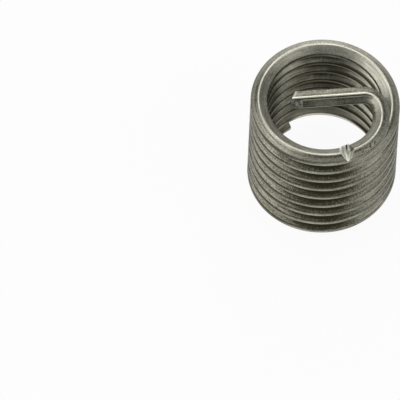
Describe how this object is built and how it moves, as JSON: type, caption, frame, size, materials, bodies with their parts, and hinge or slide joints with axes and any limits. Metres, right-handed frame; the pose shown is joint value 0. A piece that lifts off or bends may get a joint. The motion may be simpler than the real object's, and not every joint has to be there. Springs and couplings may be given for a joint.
{
  "type": "helical thread insert",
  "caption": "Coiled diamond-section wire sleeve that lines a tapped hole with a new internal thread, with a driving tang across its bore.",
  "frame": {"origin": "on the coil's axis, in the plane of the lowest point of the plain end", "axes": "+Z along the bore from the plain end towards the driving tang; the notch is at the front, at about -Y and a little to +X"},
  "size_m": [0.012, 0.012, 0.0127],
  "materials": {
    "drawn_wire": "satin drawn stainless steel, with fine lines along the wire and worn bright ridges"
  },
  "bodies": {
    "root": {"wire_coil": "drawn_wire"}
  },
  "joints": []
}
